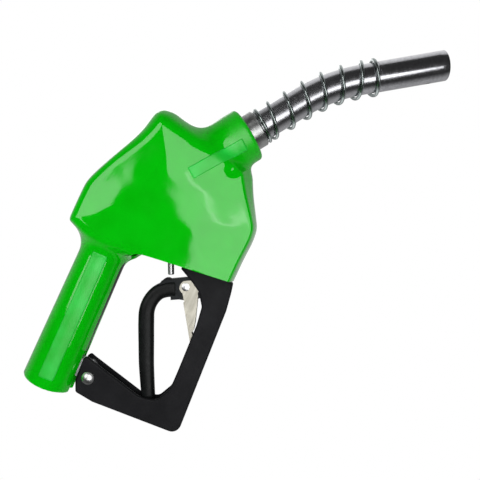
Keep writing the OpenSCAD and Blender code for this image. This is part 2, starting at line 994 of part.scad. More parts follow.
module latch_pin() {
    color([0.8, 0.8, 0.8])
        in_trip(0)
            rotate_extrude()
                polygon([[0, 31], [1.6, 31], [2, 31.4], [2, 51.8], [6, 51.8], [6, 52.8],
                    [2, 52.8], [2, 53.6], [0, 53.6]]);
}

module latch_balls() {
    ball = 1.9;
    color([0.85, 0.85, 0.85])
        in_trip(40.6)
            for (turn = [0:120:240])
                rotate([0, 0, turn])
                    translate([2 + ball + fit, 0, 0])
                        sphere(r = ball);
}

// ---------- lever and clip ----------

// Channel under the lever's box, and the slot that lets the plunger in
lever_hollow = [[67, 92], [66.8, 102], [67.2, 116.4], [71.6, 118.2], [78, 119.6],
    [79, 132], [110, 132], [110, 98], [75, 92]];

// The steel bar inside the sleeve
bar_outline = [[75, 121, 1], [59.6, 112.4, 4], [50.4, 103.4, 8], [46, 92.6, 8],
    [46.2, 83, 8], [57.6, 57.6, 55], [75.2, 21.8, 2], [81.4, 22.4, 2], [66.6, 50.4, 55],
    [53.4, 78, 10], [51, 85.4, 9], [53.4, 94, 8], [59, 99, 5], [75, 106, 1]];

// Everything of the lever in front of the sleeve's end
bare_front = [[57, 113.2], [64, 98], [66, 70], [130, 70], [130, 150], [50, 150], [50, 128]];
// Raised seat for the wear pad, in a slot of the sleeve
pad_seat = [[61, 104], [61, 114.6], [57.2, 113.6], [51.4, 109], [50.4, 104]];

module lever() {
    color([0.1, 0.105, 0.105])
        difference() {
            slab(lever_width)
                intersection() {
                    union() {
                        polygon(rounded(lever_outline));
                        polygon(pad_seat);
                    }
                    union() {
                        polygon(rounded(bar_outline));
                        polygon(bare_front);
                        polygon(pad_seat);
                    }
                }
            slab(lever_width - 2 * lever_wall)
                polygon(lever_hollow);
            cross_rod(pivot, pivot_pin_r + fit, 40);
            cross_rod(rivet, rivet_r + fit, 40);
            in_valve(pad_centre[0], pad_centre[1])
                rotate([90, 0, 0])
                    difference() {
                        cylinder(r = pad_r + 0.4, h = 20, center = true);
                        translate([-20, -20, -20])
                            cube([40, 20 + 2.6, 40]);
                    }
        }
}

module lever_grip() {
    color([0.07, 0.075, 0.075])
        difference() {
            slab(sleeve_width)
                polygon(rounded(lever_outline));
            slab(lever_width + 2 * fit)
                union() {
                    polygon(rounded(bar_outline));
                    polygon(pad_seat);
                    translate([54, 110])
                        circle(r = 5);
                }
            slab(far)
                polygon(bare_front);
        }
}

module lever_pad() {
    color([0.13, 0.13, 0.135])
        in_valve(pad_centre[0], pad_centre[1])
            rotate([90, 0, 0])
                difference() {
                    cylinder(r = pad_r, h = lever_width - 0.6, center = true);
                    translate([-20, -20, -20])
                        cube([40, 20 + 2.65, 40]);
                }
}

module hold_open_clip() {
    color([0.66, 0.655, 0.62])
        difference() {
            union() {
                for (side = [-1, 1])
                    translate([0, side * (clip_half - clip_sheet / 2), 0])
                        slab(clip_sheet)
                            polygon(rounded(clip_blade));
                slab(2 * clip_half)
                    polygon(clip_web);
            }
            cross_rod(rivet, rivet_r + fit, 40);
        }
}

module clip_rivet() {
    head = 3.2;
    rise = 0.62;
    dome = (head * head + rise * rise) / (2 * rise);
    color([0.76, 0.75, 0.73])
        translate([rivet[0], 0, rivet[1]])
            rotate([90, 0, 0]) {
                cylinder(r = rivet_r, h = 2 * clip_half + 0.2, center = true);
                for (side = [0, 180])
                    rotate([side, 0, 0])
                        translate([0, 0, clip_half + fit])
                            rotate_extrude()
                                intersection() {
                                    square([head + 0.1, 2 * rise]);
                                    translate([0, rise - dome])
                                        circle(r = dome, $fn = 96);
                                }
            }
}

module clip_spring() {
    coil = 2.6;
    color([0.6, 0.6, 0.6])
        translate([rivet[0], 0, rivet[1]])
            rotate([90, 0, 0])
                for (level = [-1, 0, 1])
                    torus(coil, 0.4, level);
}

body_casting();
scuff_cover();
grip_strip();
hand_guard();
guard_pin();
guard_screw();
inlet_strainer();
body_cap();
cap_gasket();
valve_seat_ring();
stem_packing();
packing_nut();
spout_tube();
spout_collar();
spout_o_rings();
spout_set_screw();
anchor_spring();
vent_tube();
sensing_port();
venturi_seat();
spring_retainer();
diaphragm_cap();
diaphragm();
diaphragm_cap_screws();
plunger_bushing();
latch_ring();
main_spring();
trip_spring();
diaphragm_spring();
check_spring();
poppet();
poppet_seal();
valve_stem();
poppet_nut();
trip_plunger();
pivot_pin();
pivot_clips();
latch_pin();
latch_balls();
lever();
lever_grip();
lever_pad();
hold_open_clip();
clip_rivet();
clip_spring();
check_poppet();
check_o_ring();
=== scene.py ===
import bmesh
import bpy
import math
import numpy as np
from mathutils import Matrix, Vector
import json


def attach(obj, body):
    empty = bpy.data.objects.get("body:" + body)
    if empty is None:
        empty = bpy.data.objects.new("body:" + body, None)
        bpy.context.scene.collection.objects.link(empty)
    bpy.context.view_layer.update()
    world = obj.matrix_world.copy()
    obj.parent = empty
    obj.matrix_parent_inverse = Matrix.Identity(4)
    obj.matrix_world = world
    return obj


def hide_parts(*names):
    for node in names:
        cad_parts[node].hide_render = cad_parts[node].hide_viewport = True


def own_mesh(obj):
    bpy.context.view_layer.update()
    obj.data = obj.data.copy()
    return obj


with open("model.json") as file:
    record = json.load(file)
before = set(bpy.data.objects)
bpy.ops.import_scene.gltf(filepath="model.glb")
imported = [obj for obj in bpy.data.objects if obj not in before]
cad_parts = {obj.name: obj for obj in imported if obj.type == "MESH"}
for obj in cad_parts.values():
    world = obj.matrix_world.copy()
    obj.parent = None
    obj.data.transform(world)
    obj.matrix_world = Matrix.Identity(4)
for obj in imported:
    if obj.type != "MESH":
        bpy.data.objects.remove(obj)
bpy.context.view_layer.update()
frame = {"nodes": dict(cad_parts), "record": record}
MM = 0.001
NODES = frame["nodes"]

# Every length below is in millimetres, in the frame's own axes, unless it says metres.
# The cover's side outline in the XZ plane, going round clockwise.
BODY_OUTLINE = [
    (-34, 123), (-34, 140), (-33.5, 157), (-31, 165), (-23.4, 183), (-11.6, 210), (-7.6, 228),
    (-4, 233), (1, 235.6), (9, 236), (18, 233.6), (28, 232), (50, 226.6), (72, 220.5),
    (83, 216.5), (91, 200), (99.4, 186), (104.6, 177), (105.6, 166), (104.4, 150), (104, 132),
    (103.6, 112), (60, 112), (22, 115), (0, 115), (-16, 115.5), (-24, 118.6),
]
# What is cut away in front of the grip and under the body, in the XZ plane.
SKIRT = [
    (23, 40), (23, 108), (23.4, 116), (25.6, 121), (30, 123.4), (37, 124.6),
    (70, 128.2), (120, 133.4), (150, 136), (150, 40),
]
HALF_DEPTH = 29.0
WALL, RIM_ROUND = 2.6, 0.45
Y_AXIS = np.array([0.0, 1.0, 0.0])
# The chamfer's drop, how far it reaches in (low down, and how much more at the top), the bulge of
# the sides, and the dimple on the near side: centre in XZ, squared spreads and depth.
CHAMFER_FALL, BACK_INSET, FRONT_INSET = 17.0, (5.5, 4.5), (3.4, 5.6)
CROWN, CROWN_REACH = 2.6, 46
DIMPLE_AT, DIMPLE_SPREAD, DIMPLE_DEEP = (69.5, 209.5), (34, 22), 2.2
# The handle: radius at the bottom, how much slimmer it gets up to a height, and its tilted bottom.
HANDLE_R, HANDLE_TAPER, TAPER_TOP, HANDLE_TOP = 20.0, 1.7, 115, 160
BOTTOM_LEVEL, BOTTOM_SLOPE, BOTTOM_X = -0.6, 0.03, 18
# The cover's other openings: slit and notch for the guard and the lever, inlet and spout mouth.
SLIT_HALF, SLIT_TOP, NOTCH_HALF, NOTCH_HIGH, SLIT_BACK = 4.6, 118, 5.5, 32, 9
INLET_R, INLET_DEEP, MOUTH_R, MOUTH_DEEP = 17.4, 4, 15.7, 4
# How softly the neck and the handle run into the body, and the openings into one another.
NECK_BLEND, HANDLE_BLEND, OPENING_BLEND = 9.0, 13.0, 7.0

# The neck, and the spout that leans forward out of its mouth: a straight, a bend and a straight.
NECK_R, NECK_LEN = 22.0, 62.0
SPOUT_BASE = np.array([68.0, 0.0, 244.0])
SPOUT_LEAN = math.radians(35)
SPOUT_DIR = np.array([math.sin(SPOUT_LEAN), 0.0, math.cos(SPOUT_LEAN)])
SPOUT_OUT, SPOUT_IN = 11.9, 10.4
SPOUT_FOOT = -22.0
BASE_LEN, BEND_R, BEND, TIP_LEN = 47.8, 142.0, math.radians(21.5), 66.6
SPOUT_END = BASE_LEN + BEND_R * BEND + TIP_LEN
SPRING_END, PORT_FROM_TIP = 113.2, 15.5
SPOUT_NODES = ["spout_tube", "spout_collar", "anchor_spring", "sensing_port"]

# The hand guard's outline and the hollow in its middle: corners (x, z, radius).
GUARD = [
    (62, 124, 1.5), (74, 118, 4), (82, 113, 3), (89, 103, 6), (91, 88, 8), (92, 50, 10),
    (92, 34, 10), (86, 22.2, 6), (78, 19.7, 4), (70.6, 19.3, 4), (26, 30.2, 2), (22, 31.6, 2),
    (20, 28.6, 2), (20.6, 11, 1), (24.6, 1.9, 2.6), (40, 0.0, 4), (111.7, 3.4, 7.5),
    (108, 108, 8), (105.8, 123, 4), (104.4, 129.6, 1.5), (99.8, 130.4, 0.6), (99.8, 141, 4),
    (91.6, 141, 3.5), (91.6, 131, 2), (62, 126.4, 1.2),
]
GUARD_CHANNEL = [
    (55, 117, 0), (60, 40, 0), (10, 45, 0), (10, 12, 0), (20.4, 12, 0), (26.4, 4.7, 2),
    (40, 2.6, 4), (102, 5.2, 5.2), (107.8, 11.4, 4), (105.5, 108, 7), (103.4, 122.6, 3),
    (101.6, 131, 0), (101.6, 145, 0), (55, 145, 0),
]
GUARD_WIDTH, GUARD_ROUND, CHANNEL_HALF = 15.0, 1.7, 5.4
GUARD_HOLES = [(29.5, 16.0, 3.05), (95.8, 136.4, 2.25)]
HOLLOW_R, HOLLOW_X, HOLLOW_LEAN, HOLLOW_ROWS = 2.6, 104.1, 0.022, range(58, 95, 9)

# The lever's grip: centre line and half width in XZ, bottom end first, then what is left free in it.
GRIP_LINE = [
    (78.4, 19.8, 5.4), (72.6, 31.0, 5.7), (66.4, 43.4, 6.0), (59.6, 58.6, 6.2), (53.4, 72.6, 6.3),
    (49.7, 82.6, 6.2), (49.6, 91.4, 6.2), (52.6, 99.2, 6.2), (58.4, 104.6, 6.6), (64.0, 107.2, 7.0),
]
GRIP_SIDES, GRIP_HALF, BAR_HALF = 28, 4.6, 3.36
GRIP_NOSE, NOSE_ROWS, NOSE_DRAW = 1.8, 3, 15 / 16
BAR = [
    (75, 121, 1), (59.6, 112.4, 4), (50.4, 103.4, 8), (46, 92.6, 8), (46.2, 83, 8), (57.6, 57.6, 55),
    (75.2, 21.8, 2), (81.4, 22.4, 2), (66.6, 50.4, 55), (53.4, 78, 10), (51, 85.4, 9), (53.4, 94, 8),
    (59, 99, 5), (75, 106, 1),
]
PAD_SLOT = [(61, 104), (61, 116), (57.2, 116), (51.4, 112), (50.4, 104)]
BARE_FRONT = [(57, 113.2), (64, 98), (66, 70), (130, 70), (130, 150), (50, 150), (50, 128)]

# Blank strips on the cover: centre and direction in XZ, length, width, corner radius, height.
LABELS = {
    "grip_label": ((2.0, 59.0), (0, 1), 104.0, 12.0, 1.5, 0.35),
    "neck_label": ((55.8, 213.0), (0.593, 0.805), 47.0, 9.5, 1.2, 0.4),
}
LABEL_LIP, LABEL_SUNK, LABEL_FILM = 0.12, 0.4, 0.6

# Springs inside the casting: node, foot, direction, coil and wire radius, turns, length, the joint
# that shortens it, by how much, and whether its foot or its top stays put.
VALVE_TILT = math.radians(25)
VALVE_DIR = np.array([-math.sin(VALVE_TILT), 0.0, math.cos(VALVE_TILT)])
VALVE_BASE = np.array([58.0, 0.0, 112.0])
TRIP_BASE = VALVE_BASE + 31.5 * np.array([math.cos(VALVE_TILT), 0.0, math.sin(VALVE_TILT)])
INNER_SPRINGS = [
    ("main_spring", VALVE_BASE + 103.2 * VALVE_DIR, VALVE_DIR, 7.6, 0.7, 5, 17.2, "valve_lift", 8.6, "top"),
    ("trip_spring", TRIP_BASE + 22.2 * VALVE_DIR, VALVE_DIR, 6.6, 0.55, 5, 11.3, "trip_drop", 6.0, "foot"),
    ("diaphragm_spring", TRIP_BASE + 53 * VALVE_DIR, VALVE_DIR, 4.4, 0.4, 4, 5.8, "latch_lift", 2.0, "top"),
    ("check_spring", SPOUT_BASE - 18.9 * SPOUT_DIR, SPOUT_DIR, 4.2, 0.5, 6, 16.2, "check_open", 5.0, "top"),
]

# The camera, in metres, turned with the nozzle as the photograph shows it.
CAMERA_AT, CAMERA_LENS = (0.0954, -0.4, 0.1635), 37.5
CAMERA_RIGHT, CAMERA_UP, CAMERA_BACK = (0.9157, 0, 0.4019), (-0.4019, 0, 0.9157), (0, -1, 0)

# What gloss sees of the room, behind the camera and behind the object, and how much brighter soft
# light is than that.
ROOM_GREYS, ROOM_ENDS, SOFT_LIFT = (0.04, 0.5), (0.35, 0.7), 1.8

# Area lights in metres and watts: place, target, width, height, power, turn about its own axis.
LIGHTS = {
    "right_box": ((0.42, -1.0, 0.0), (0.42, 0, 0.0), 0.9, 0.6, 5.9, 0),
    "high_box": ((0.152, -1.0, 0.431), (0.152, 0, 0.431), 0.7, 0.7, 4.9, 33),
    "streak": ((0.072, -0.99, 0.298), (0.072, 0, 0.298), 0.3, 0.04, 0.11, -20),
    "left_box": ((-0.76, -1.0, 0.2), (-0.76, 0, 0.2), 0.66, 0.9, 6.6, 0),
    "back_fill": ((0.1, 1.2, 0.4), (0.1, 0, 0.15), 1.2, 1.2, 11.0, 0),
    "back_box": ((-0.35, 1.1, 0.6), (0.0, 0, 0.15), 0.9, 0.6, 2.6, 0),
    "top_card": ((0.1, 0.7, 1.2), (0.1, 0.7, 0), 1.8, 1.7, 5.5, 0),
    "low_card": ((0.3, 0.8, -0.7), (0.3, 0.8, 0), 1.8, 1.5, 8.0, 0),
}


# ---------- materials ----------

def srgb(r, g, b):
    """A colour read in 0..255 sRGB, as linear RGBA."""
    def lin(c):
        c = c / 255
        return c / 12.92 if c <= 0.04045 else ((c + 0.055) / 1.055) ** 2.4
    return (lin(r), lin(g), lin(b), 1.0)


class Nodes:
    """A material's node tree with short calls for what the materials here need."""

    def __init__(self, name):
        self.name = name
        self.mat = bpy.data.materials.new(name)
        self.mat.use_nodes = True
        self.tree = self.mat.node_tree
        self.shader = self.tree.nodes["Principled BSDF"]
        self.coords = self.tree.nodes.new("ShaderNodeTexCoord").outputs["Object"]

    def put(self, socket, value):
        """Links or sets one input."""
        if isinstance(value, bpy.types.NodeSocket):
            self.tree.links.new(value, socket)
        else:
            socket.default_value = value

    def add(self, kind, **inputs):
        node = self.tree.nodes.new(kind)
        for key, value in inputs.items():
            self.put(node.inputs[key.replace("_", " ")], value)
        return node

    def set(self, **values):
        for key, value in values.items():
            self.put(self.shader.inputs[key.replace("_", " ")], value)

    def noise(self, scale, detail=3.0, rough=0.5, stretch=(1, 1, 1)):
        mapping = self.add("ShaderNodeMapping", Vector=self.coords, Scale=stretch)
        tex = self.add("ShaderNodeTexNoise", Vector=mapping.outputs[0], Scale=scale, Detail=detail,
                       Roughness=rough)
        return tex.outputs["Fac"]

    def ramp(self, fac, low, high, c0, c1):
        node = self.add("ShaderNodeValToRGB", Fac=fac)
        for element, position, colour in zip(node.color_ramp.elements, (low, high), (c0, c1)):
            element.position = position
            element.color = colour
        return node.outputs["Color"]

    def span(self, fac, low, high, out_low, out_high):
        ends = {"From Min": low, "From Max": high, "To Min": out_low, "To Max": out_high}
        return self.add("ShaderNodeMapRange", Value=fac, **ends).outputs["Result"]

    def bump(self, height, distance, strength, over=None):
        node = self.add("ShaderNodeBump", Height=height, Distance=distance, Strength=strength)
        if over is not None:
            self.put(node.inputs["Normal"], over)
        return node.outputs["Normal"]

    def math(self, operation, a, b):
        node = self.tree.nodes.new("ShaderNodeMath")
        node.operation = operation
        self.put(node.inputs[0], a)
        self.put(node.inputs[1], b)
        return node.outputs[0]

    def along_spout(self):
        """How far a point is along the spout's base direction from the cover's mouth, in metres."""
        dot = self.tree.nodes.new("ShaderNodeVectorMath")
        dot.operation = "DOT_PRODUCT"
        self.put(dot.inputs[0], self.coords)
        self.put(dot.inputs[1], SPOUT_DIR)
        return self.math("SUBTRACT", dot.outputs["Value"], float(SPOUT_BASE @ SPOUT_DIR) * MM)


def surface(name, cloud, colours, uneven, rough, grain, relief,
            ends=(0.3, 0.7), metallic=0.0, gloss=0.5, swell=None):
    """Cloudy between two sRGB colours, unevenly rough, with a fine grain and perhaps a soft swell.

    cloud, uneven and grain are arguments of noise; relief is a bump's height in metres and its
    strength; swell is a noise and a relief.
    """
    n = Nodes(name)
    n.set(Base_Color=n.ramp(n.noise(*cloud), *ends, *(srgb(*c) for c in colours)), Metallic=metallic)
    n.set(Roughness=n.span(n.noise(*uneven), 0.3, 0.7, *rough), Specular_IOR_Level=gloss)
    normal = n.bump(n.noise(*grain), *relief)
    if swell:
        normal = n.bump(n.noise(*swell[0]), *swell[1], over=normal)
    n.set(Normal=normal)
    return n


def metal(name, colours, rough, scale, stretch=(1, 1, 1), height=0.00003):
    """Bare metal with streaks along one direction; stretch is small along the streak."""
    n = Nodes(name)
    streak = n.noise(scale, 4.0, 0.6, stretch)
    n.set(Metallic=1.0, Base_Color=n.ramp(streak, 0.25, 0.75, *(srgb(*c) for c in colours)))
    n.set(Roughness=n.span(n.noise(scale * 0.6, 3.0, 0.5, stretch), 0.3, 0.7, *rough))
    n.set(Normal=n.bump(streak, height, 0.4))
    return n


def green_vinyl():
    """The cover's glossy vinyl, duller round the neck's mouth."""
    n = Nodes("green_vinyl")
    n.set(Base_Color=n.ramp(n.noise(38.0, 2.0), 0.3, 0.7, srgb(0, 160, 2), srgb(0, 171, 5)))
    smear = n.span(n.noise(90.0, 4.0, 0.6), 0.3, 0.75, 0.035, 0.08)
    wear = n.span(n.along_spout(), -0.022, -0.012, 0.0, 0.3)
    n.set(Roughness=n.math("ADD", smear, wear))
    skin = n.bump(n.noise(30.0, 1.5), 0.002, 0.35)
    n.set(Normal=n.bump(n.noise(900.0, 2.0), 0.00004, 0.35, over=skin))
    n.set(Specular_IOR_Level=0.46, Coat_Weight=0.06, Coat_Roughness=0.04)
    return n


def spout_steel():
    """Drawn tube: duller under the spring, brighter on the straight end."""
    n = Nodes("spout_metal")
    cloud = n.noise(420.0, 4.0, 0.6)
    n.set(Metallic=1.0, Base_Color=n.ramp(cloud, 0.25, 0.75, srgb(170, 170, 174), srgb(198, 198, 202)))
    grain = n.span(n.noise(260.0, 3.0), 0.3, 0.7, 0.0, 0.06)
    n.set(Roughness=n.math("ADD", grain, n.span(n.along_spout(), 0.06, 0.125, 0.23, 0.17)))
    n.set(Normal=n.bump(n.noise(60.0, 2.0), 0.000012, 0.3))
    return n


def turned_metal(name, dark, light):
    """Fine turning rings round the spout's base direction."""
    n = Nodes(name)
    turn = n.add("ShaderNodeMapping", Vector=n.coords, Rotation=(0, -SPOUT_LEAN, 0))
    rings = n.add("ShaderNodeTexWave", Vector=turn.outputs[0], Scale=900.0, Distortion=1.5)
    rings.bands_direction = "Z"
    n.set(Metallic=1.0, Base_Color=n.ramp(n.noise(200.0, 3.0), 0.3, 0.7, dark, light))
    n.set(Roughness=n.span(n.noise(260.0, 3.0), 0.3, 0.7, 0.3, 0.38))
    n.set(Normal=n.bump(rings.outputs["Fac"], 0.00001, 0.25))
    return n


def black_vinyl(name):
    return surface(name, (80.0, 4.0, 0.6), ((10, 11, 11), (20, 22, 22)), (350.0,), (0.3, 0.42), (700.0,),
                   (0.00008, 0.45), gloss=0.12)


def make_materials():
    """All materials by the names used here; the record's slots have the same names."""
    made = [
        green_vinyl(), spout_steel(), black_vinyl("black_vinyl"), black_vinyl("seal_rubber"),
        surface("casting", (150.0, 5.0), ((168, 170, 172), (205, 206, 207)), (300.0, 4.0), (0.32, 0.5),
                (420.0, 5.0, 0.65), (0.00025, 0.6), metallic=1.0),
        surface("label_film", (48.0, 2.0, 0.4), ((4, 170, 30), (18, 186, 52)), (420.0,), (0.34, 0.46),
                (700.0, 2.0), (0.00006, 0.4), ends=(0.4, 0.62)),
        surface("guard_nylon", (60.0, 5.0, 0.6), ((21, 21, 23), (29, 29, 31)), (500.0,), (0.42, 0.56),
                (1500.0, 2.0, 0.6), (0.00008, 0.5), ends=(0.3, 0.75), gloss=0.07,
                swell=((45.0, 2.0), (0.0004, 0.25))),
        surface("lever_paint", (240.0, 6.0, 0.7), ((12, 15, 16), (24, 28, 30)), (300.0,), (0.25, 0.4),
                (600.0,), (0.00006, 0.5), ends=(0.2, 0.82), gloss=0.12),
        turned_metal("collar_metal", srgb(150, 150, 150), srgb(185, 187, 185)),
        metal("polished_steel", ((196, 196, 196), (222, 222, 222)), (0.3, 0.38), 300.0),
        metal("spring_steel", ((120, 128, 128), (170, 178, 176)), (0.2, 0.3), 500.0),
        metal("clip_steel", ((140, 137, 126), (174, 171, 160)), (0.36, 0.48), 520.0, (1, 1, 0.1), 0.00005),
        metal("brass", ((176, 140, 70), (206, 172, 96)), (0.22, 0.34), 400.0, (1, 1, 0.3)),
        metal("machined_steel", ((150, 150, 152), (178, 178, 180)), (0.22, 0.34), 400.0, (1, 1, 0.3)),
        metal("packing", ((225, 225, 220), (238, 238, 234)), (0.4, 0.5), 300.0),
    ]
    return {n.name: n.mat for n in made}


# ---------- the cover's surface as a distance field ----------

def smooth_step(x, low, high):
    t = np.clip((x - low) / (high - low), 0, 1)
    return t * t * (3 - 2 * t)


def smooth_min(a, b, k):
    h = np.maximum(k - np.abs(a - b), 0) / k
    return np.minimum(a, b) - h * h * k / 4


def smooth_max(a, b, k):
    return -smooth_min(-a, -b, k)


def rounded_edge(a, b, edge):
    """The solid where both a and b are negative, with the edge between them rounded."""
    a, b = a + edge, b + edge
    return np.hypot(np.maximum(a, 0), np.maximum(b, 0)) + np.minimum(np.maximum(a, b), 0) - edge


def corner_cut(points, rounds, share=0.2):
    """A closed outline with its corners cut off again and again, which rounds them."""
    pts, rest = np.array(points, float), 1 - share
    for _ in range(rounds):
        nxt = np.roll(pts, -1, axis=0)
        pts = np.stack([rest * pts + share * nxt, share * pts + rest * nxt], 1).reshape(-1, 2)
    return pts


ROUND_OUTLINE = corner_cut(BODY_OUTLINE, 2)
ROUND_SKIRT = corner_cut(SKIRT, 1)


def outline_distance(outline, x, z):
    """Signed distance to a closed outline, negative inside."""
    best = np.full(x.shape, 1e9)
    inside = np.zeros(x.shape, bool)
    for (ax, az), (bx, bz) in zip(outline, np.roll(outline, -1, axis=0)):
        ex, ez = bx - ax, bz - az
        t = np.clip(((x - ax) * ex + (z - az) * ez) / (ex * ex + ez * ez), 0, 1)
        best = np.minimum(best, (x - ax - t * ex) ** 2 + (z - az - t * ez) ** 2)
        inside ^= ((az > z) != (bz > z)) & (x < ex * (z - az) / (ez if ez else 1e-9) + ax)
    return np.sqrt(best) * np.where(inside, -1, 1)


def spout_axes(p):
    """How far points are along the spout's base direction from its base, and away from that line."""
    q = p - SPOUT_BASE
    s = q @ SPOUT_DIR
    return s, np.linalg.norm(q - s[:, None] * SPOUT_DIR, axis=1)


def body_field(p):
    """A slab across Y with a chamfer all round, its creases sharper at the front edge."""
    x, y, z = p.T
    d = outline_distance(ROUND_OUTLINE, x, z)
    front = smooth_step(x, 40, 80)
    high = smooth_step(z, 168, 224)
    back_inset, front_inset = (low + more * high for low, more in (BACK_INSET, FRONT_INSET))
    inset = (1 - front) * back_inset + front * front_inset
    crown = CROWN * smooth_step(-d, CROWN_REACH, 0)
    away = (x - DIMPLE_AT[0]) ** 2 / DIMPLE_SPREAD[0] + (z - DIMPLE_AT[1]) ** 2 / DIMPLE_SPREAD[1]
    side = np.abs(y) - HALF_DEPTH + crown + DIMPLE_DEEP * np.exp(-away) * (y < 0)
    chamfer = (CHAMFER_FALL * (d + inset) + inset * side) / np.hypot(CHAMFER_FALL, inset)
    return smooth_max(smooth_max(d, side, 5.0), chamfer, 2.5 + 4.5 * (1 - front))


def handle_field(p):
    """The round handle, a little slimmer towards the body, its bottom slightly tilted."""
    x, y, z = p.T
    radius = HANDLE_R - HANDLE_TAPER * np.clip(z, 0, TAPER_TOP) / TAPER_TOP
    bottom = BOTTOM_LEVEL - BOTTOM_SLOPE * (x + BOTTOM_X) - z
    return rounded_edge(np.hypot(x, y) - radius, np.maximum(bottom, z - HANDLE_TOP), 1.6)


def neck_field(p):
    s, away = spout_axes(p)
    return rounded_edge(away - NECK_R, np.maximum(s, -NECK_LEN - s), 3.0)


def cover_field(p):
    f = smooth_min(body_field(p), neck_field(p), NECK_BLEND)
    return smooth_min(f, handle_field(p), HANDLE_BLEND)


def outside_openings(p):
    """Positive where the cover has material, negative in its openings."""
    x, y, z = p.T
    under = outline_distance(ROUND_SKIRT, x, z)
    slit = np.maximum(np.maximum(np.abs(y) - SLIT_HALF, z - SLIT_TOP), SLIT_BACK - x)
    notch = np.maximum(np.maximum(np.abs(y) - NOTCH_HALF, z - NOTCH_HIGH), SLIT_BACK - x)
    inlet = np.maximum(np.hypot(x, y) - INLET_R, z - INLET_DEEP)
    s, away = spout_axes(p)
    mouth = np.maximum(away - MOUTH_R, -MOUTH_DEEP - s)
    front = smooth_min(under, np.minimum(slit, notch), OPENING_BLEND)
    return np.minimum(np.minimum(front, inlet), mouth)


def gradient(field, p, h=0.05):
    g = np.empty_like(p)
    for axis in range(3):
        step = np.zeros(3)
        step[axis] = h
        g[:, axis] = (field(p + step) - field(p - step)) / (2 * h)
    return g


def settle(p, rounds, longest=2.5, flat=0.05):
    """Moves points onto the cover's surface, in steps no longer than the longest."""
    for _ in range(rounds):
        g = gradient(cover_field, p)
        step = -(cover_field(p) / np.maximum((g * g).sum(1), flat))[:, None] * g
        length = np.linalg.norm(step, axis=1, keepdims=True)
        p = p + step * np.minimum(1, longest / np.maximum(length, 1e-9))
    return p


def front_surface(x, z):
    """The cover's near surface: its y at points of the XZ plane."""
    near, deep = np.full(x.shape, -40.0), np.full(x.shape, 0.0)
    for _ in range(26):
        mid = (near + deep) / 2
        outside = cover_field(np.stack([x, mid, z], 1)) > 0
        near = np.where(outside, mid, near)
        deep = np.where(outside, deep, mid)
    return (near + deep) / 2


# ---------- mesh helpers ----------

def new_object(name, data):
    obj = bpy.data.objects.new(name, data)
    bpy.context.scene.collection.objects.link(obj)
    return obj


def object_from(name, verts, faces):
    """A smooth-shaded mesh object; verts in metres."""
    mesh = bpy.data.meshes.new(name)
    mesh.from_pydata([tuple(v) for v in verts], [], [tuple(f) for f in faces])
    mesh.update()
    mesh.shade_smooth()
    return new_object(name, mesh)


def evaluated_mesh(obj):
    dg = bpy.context.evaluated_depsgraph_get()
    dg.update()
    return bpy.data.meshes.new_from_object(obj.evaluated_get(dg), depsgraph=dg)


def bake(obj):
    """Applies the object's modifiers to its mesh."""
    old, obj.data = obj.data, evaluated_mesh(obj)
    obj.modifiers.clear()
    bpy.data.meshes.remove(old)


def edit_mesh(mesh, *works):
    """Runs each work on the mesh's faces and points."""
    bm = bmesh.new()
    bm.from_mesh(mesh)
    for work in works:
        work(bm)
    bm.to_mesh(mesh)
    bm.free()


def face_outwards(bm):
    bmesh.ops.recalc_face_normals(bm, faces=bm.faces)


def weld(dist):
    return lambda bm: bmesh.ops.remove_doubles(bm, verts=bm.verts, dist=dist * MM)


def solid(name, build):
    mesh = bpy.data.meshes.new(name)
    edit_mesh(mesh, build, face_outwards)
    return new_object(name, mesh)


def subtract(obj, cutter):
    mod = obj.modifiers.new("cut", "BOOLEAN")
    mod.operation = "DIFFERENCE"
    mod.solver = "EXACT"
    mod.object = cutter
    bake(obj)
    bpy.data.objects.remove(cutter)


def thicken(obj, wall):
    """Grows the surface inwards into a wall."""
    mod = obj.modifiers.new("wall", "SOLIDIFY")
    mod.thickness = wall * MM
    mod.offset = -1


def finish_piece(obj, body, slot, material, *replaced):
    obj.data.materials.clear()
    obj.data.materials.append(MATERIALS[material])
    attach(obj, body)
    if replaced:
        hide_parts(*replaced)
    return obj


def prism(bm, outline, low_y, high_y):
    """A closed solid between two Y planes with the outline in XZ."""
    near, far = ([bm.verts.new((x * MM, y * MM, z * MM)) for x, z in outline] for y in (low_y, high_y))
    bm.faces.new(near)
    bm.faces.new(far[::-1])
    for i in range(len(outline)):
        j = (i + 1) % len(outline)
        bm.faces.new((near[j], near[i], far[i], far[j]))


def round_point(centre, radius, u, v, angle):
    return centre + radius * (math.cos(angle) * u + math.sin(angle) * v)


def ring(centre, radius, u, v, sides):
    """Points of a circle in the plane of u and v, in metres."""
    return [round_point(centre, radius, u, v, 2 * math.pi * k / sides) * MM for k in range(sides)]


def ring_faces(rings, sides, closed=False):
    """Faces between rings of points; a closed row joins its last ring to its first, others get end caps."""
    faces = []
    for i in range(rings if closed else rings - 1):
        r = (i + 1) % rings
        for k in range(sides):
            j = (k + 1) % sides
            faces.append((i * sides + k, i * sides + j, r * sides + j, r * sides + k))
    if not closed:
        last = (rings - 1) * sides
        faces += [tuple(range(sides))[::-1], tuple(range(last, last + sides))]
    return faces


def rod(bm, start, end, radius, sides=48):
    """A closed cylinder between two points."""
    a, b = np.array(start, float), np.array(end, float)
    t = (b - a) / np.linalg.norm(b - a)
    u = np.cross(t, Y_AXIS) if abs(t[1]) < 0.9 else np.array([1.0, 0, 0])
    u /= np.linalg.norm(u)
    verts = [bm.verts.new(p) for c in (a, b) for p in ring(c, radius, u, np.cross(t, u), sides)]
    for face in ring_faces(2, sides):
        bm.faces.new([verts[k] for k in face])


